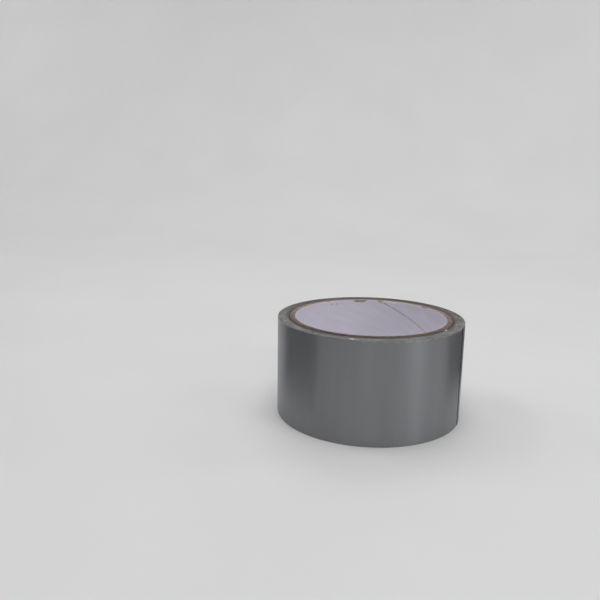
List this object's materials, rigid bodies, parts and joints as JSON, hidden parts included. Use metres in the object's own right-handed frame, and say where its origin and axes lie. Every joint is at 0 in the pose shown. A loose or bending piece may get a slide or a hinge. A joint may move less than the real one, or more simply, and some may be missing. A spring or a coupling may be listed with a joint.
{
  "type": "duct tape roll",
  "caption": "Roll of cloth-backed adhesive tape wound on a hollow spiral-wound paper core, with the loose end of the tape hinged so that it lifts and peels off the roll.",
  "frame": {"origin": "where the bore's axis meets the lower side face, which the roll stands on", "axes": "+Z along the bore's axis to the upper side face; the tape winds anticlockwise outwards seen from +Z, and its free end is 21.5 degrees clockwise of +X, towards -Y"},
  "size_m": [0.0942, 0.0943, 0.05],
  "materials": {
    "liner_paper": "matt",
    "kraft_board": "matt",
    "tape_film": "satin",
    "tape_scrim": "open plain weave",
    "tape_adhesive": "tacky"
  },
  "bodies": {
    "roll": {"core_liner": "liner_paper", "core_ply_1": "kraft_board", "core_ply_2": "kraft_board", "core_ply_3": "kraft_board", "core_ply_4": "kraft_board", "inner_turns_film": "tape_film", "inner_turns_scrim": "tape_scrim", "inner_turns_adhesive": "tape_adhesive", "outer_turn_film": "tape_film", "outer_turn_scrim": "tape_scrim", "outer_turn_adhesive": "tape_adhesive"},
    "tail_1": {"tail_film_1": "tape_film", "tail_scrim_1": "tape_scrim", "tail_adhesive_1": "tape_adhesive"},
    "tail_2": {"tail_film_2": "tape_film", "tail_scrim_2": "tape_scrim", "tail_adhesive_2": "tape_adhesive"},
    "tail_3": {"tail_film_3": "tape_film", "tail_scrim_3": "tape_scrim", "tail_adhesive_3": "tape_adhesive"},
    "tail_4": {"tail_film_4": "tape_film", "tail_scrim_4": "tape_scrim", "tail_adhesive_4": "tape_adhesive"},
    "tail_5": {"tail_film_5": "tape_film", "tail_scrim_5": "tape_scrim", "tail_adhesive_5": "tape_adhesive"},
    "tail_6": {"tail_film_6": "tape_film", "tail_scrim_6": "tape_scrim", "tail_adhesive_6": "tape_adhesive"}
  },
  "joints": [
    {"name": "tail_lift_1", "type": "hinge", "parent": "roll", "child": "tail_1", "pos_m": [-0.00357, -0.04707, 0.025], "axis": [0, 0, -1], "range_deg": [0, 30]},
    {"name": "tail_lift_2", "type": "hinge", "parent": "tail_1", "child": "tail_2", "pos_m": [0.00641, -0.04676, 0.025], "axis": [0, 0, -1], "range_deg": [0, 30]},
    {"name": "tail_lift_3", "type": "hinge", "parent": "tail_2", "child": "tail_3", "pos_m": [0.0161, -0.04437, 0.025], "axis": [0, 0, -1], "range_deg": [0, 30]},
    {"name": "tail_lift_4", "type": "hinge", "parent": "tail_3", "child": "tail_4", "pos_m": [0.02507, -0.03999, 0.025], "axis": [0, 0, -1], "range_deg": [0, 30]},
    {"name": "tail_lift_5", "type": "hinge", "parent": "tail_4", "child": "tail_5", "pos_m": [0.03292, -0.03383, 0.025], "axis": [0, 0, -1], "range_deg": [0, 30]},
    {"name": "tail_lift_6", "type": "hinge", "parent": "tail_5", "child": "tail_6", "pos_m": [0.0393, -0.02615, 0.025], "axis": [0, 0, -1], "range_deg": [0, 30]}
  ]
}
